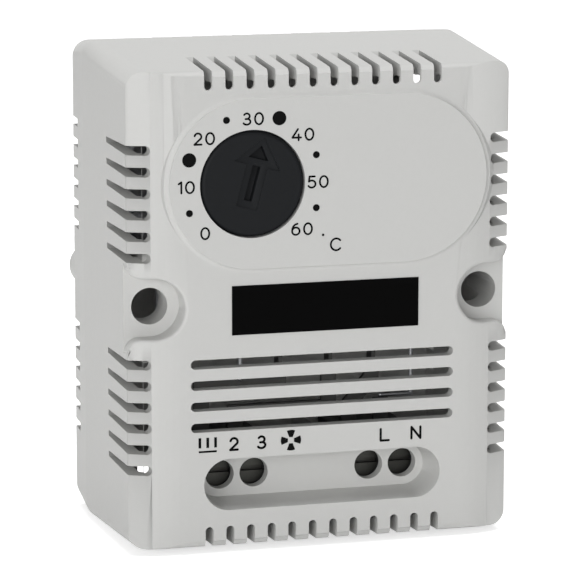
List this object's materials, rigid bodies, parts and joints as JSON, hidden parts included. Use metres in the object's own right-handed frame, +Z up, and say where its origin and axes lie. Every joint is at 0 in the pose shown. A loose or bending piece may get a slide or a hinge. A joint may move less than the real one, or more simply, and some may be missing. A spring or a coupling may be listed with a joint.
{
  "type": "DIN rail thermostat",
  "caption": "Slotted grey cabinet thermostat with a round setting dial, recessed screw terminals and a rear clip for a 35 mm rail.",
  "frame": {"origin": "bottom centre of the bounding box, in the middle of the housing's width and of the whole depth", "axes": "+Z up, -Y out of the front with the dial, +X to the right when facing the front"},
  "size_m": [0.0614, 0.043, 0.0754],
  "materials": {
    "housing_plastic": "fine satin",
    "knob_plastic": "satin",
    "label_black": "matte",
    "clip_plastic": "satin",
    "inner_plastic": "satin",
    "nylon": "satin",
    "plated_steel": "zinc plated",
    "spring_steel": "drawn",
    "brass": "satin",
    "silver_contact": "satin",
    "resistor_body": "satin"
  },
  "bodies": {
    "housing": {"front_cover": "housing_plastic", "front_label": "label_black", "rear_base": "housing_plastic", "latch_spring": "spring_steel", "spindle_bush": "brass", "mechanism_frame": "plated_steel", "frame_screws": "plated_steel", "lever_pin": "plated_steel", "pin_clip": "spring_steel", "lever_spring": "spring_steel", "switch_case": "inner_plastic", "switch_lid": "inner_plastic", "switch_screws": "plated_steel", "common_terminal": "brass", "heating_contact": "brass", "cooling_contact": "brass", "feedback_resistor": "resistor_body", "resistor_leads": "plated_steel", "terminal_block_left": "inner_plastic", "terminal_block_right": "inner_plastic", "terminal_strip_2": "plated_steel", "terminal_strip_3": "plated_steel", "terminal_strip_l": "plated_steel", "terminal_strip_n": "plated_steel"},
    "knob": {"control_knob": "knob_plastic", "knob_spindle": "brass", "setting_cam": "nylon", "spindle_clip": "spring_steel"},
    "lever": {"setting_lever": "plated_steel", "bimetal_strip": "brass", "bimetal_rivets": "plated_steel", "tip_button": "nylon"},
    "blade": {"switch_blade": "brass", "moving_contact": "silver_contact"},
    "plunger": {"switch_plunger": "nylon"},
    "latch": {"rail_latch": "clip_plastic"},
    "screw_2": {"terminal_screw_2": "plated_steel"},
    "screw_3": {"terminal_screw_3": "plated_steel"},
    "screw_l": {"terminal_screw_l": "plated_steel"},
    "screw_n": {"terminal_screw_n": "plated_steel"},
    "clamp_2": {"wire_clamp_2": "brass"},
    "clamp_3": {"wire_clamp_3": "brass"},
    "clamp_l": {"wire_clamp_l": "brass"},
    "clamp_n": {"wire_clamp_n": "brass"}
  },
  "joints": [
    {"name": "knob_turn", "type": "hinge", "parent": "housing", "child": "knob", "pos_m": [-0.0112, -0.0172, 0.0562], "axis": [0, 1, 0], "range_deg": [-150, 120]},
    {"name": "lever_tilt", "type": "hinge", "parent": "housing", "child": "lever", "pos_m": [-0.023, -0.0062, 0.0472], "axis": [0, 1, 0], "range_deg": [-1.7, 2.1], "deforming": ["lever_spring"]},
    {"name": "blade_rock", "type": "hinge", "parent": "housing", "child": "blade", "pos_m": [0.01265, -0.00378, 0.03385], "axis": [0, -1, 0], "range_deg": [0, 2.79], "stiffness_Nm_per_rad": 0.002, "springref_deg": -2.86},
    {"name": "plunger_press", "type": "slide", "parent": "housing", "child": "plunger", "axis": [0, 0, -1], "range_m": [0, 0.0002994]},
    {"name": "latch_pull", "type": "slide", "parent": "housing", "child": "latch", "axis": [0, 0, -1], "range_m": [0, 0.0034], "stiffness_N_per_m": 60, "springref_m": -0.006, "deforming": ["latch_spring"]},
    {"name": "screw_turn_2", "type": "hinge", "parent": "housing", "child": "screw_2", "pos_m": [-0.0146, -0.0097, 0.0106], "axis": [0, 1, 0], "range_deg": [0, 1650]},
    {"name": "screw_turn_3", "type": "hinge", "parent": "housing", "child": "screw_3", "pos_m": [-0.0092, -0.0097, 0.0106], "axis": [0, 1, 0], "range_deg": [0, 1650]},
    {"name": "screw_turn_l", "type": "hinge", "parent": "housing", "child": "screw_l", "pos_m": [0.0092, -0.0097, 0.0106], "axis": [0, 1, 0], "range_deg": [0, 1650]},
    {"name": "screw_turn_n", "type": "hinge", "parent": "housing", "child": "screw_n", "pos_m": [0.0146, -0.0097, 0.0106], "axis": [0, 1, 0], "range_deg": [0, 1650]},
    {"name": "clamp_draw_2", "type": "slide", "parent": "housing", "child": "clamp_2", "axis": [0, -1, 0], "range_m": [0, 0.00229]},
    {"name": "clamp_draw_3", "type": "slide", "parent": "housing", "child": "clamp_3", "axis": [0, -1, 0], "range_m": [0, 0.00229]},
    {"name": "clamp_draw_l", "type": "slide", "parent": "housing", "child": "clamp_l", "axis": [0, -1, 0], "range_m": [0, 0.00229]},
    {"name": "clamp_draw_n", "type": "slide", "parent": "housing", "child": "clamp_n", "axis": [0, -1, 0], "range_m": [0, 0.00229]}
  ],
  "couplings": [
    {"joint": "lever_tilt", "follows": "knob_turn", "ratio": -0.01356},
    {"joint": "blade_rock", "follows": "plunger_press", "rad_per_m": 162.6},
    {"joint": "screw_turn_2", "follows": "clamp_draw_2", "rad_per_m": 12566},
    {"joint": "screw_turn_3", "follows": "clamp_draw_3", "rad_per_m": 12566},
    {"joint": "screw_turn_l", "follows": "clamp_draw_l", "rad_per_m": 12566},
    {"joint": "screw_turn_n", "follows": "clamp_draw_n", "rad_per_m": 12566}
  ]
}
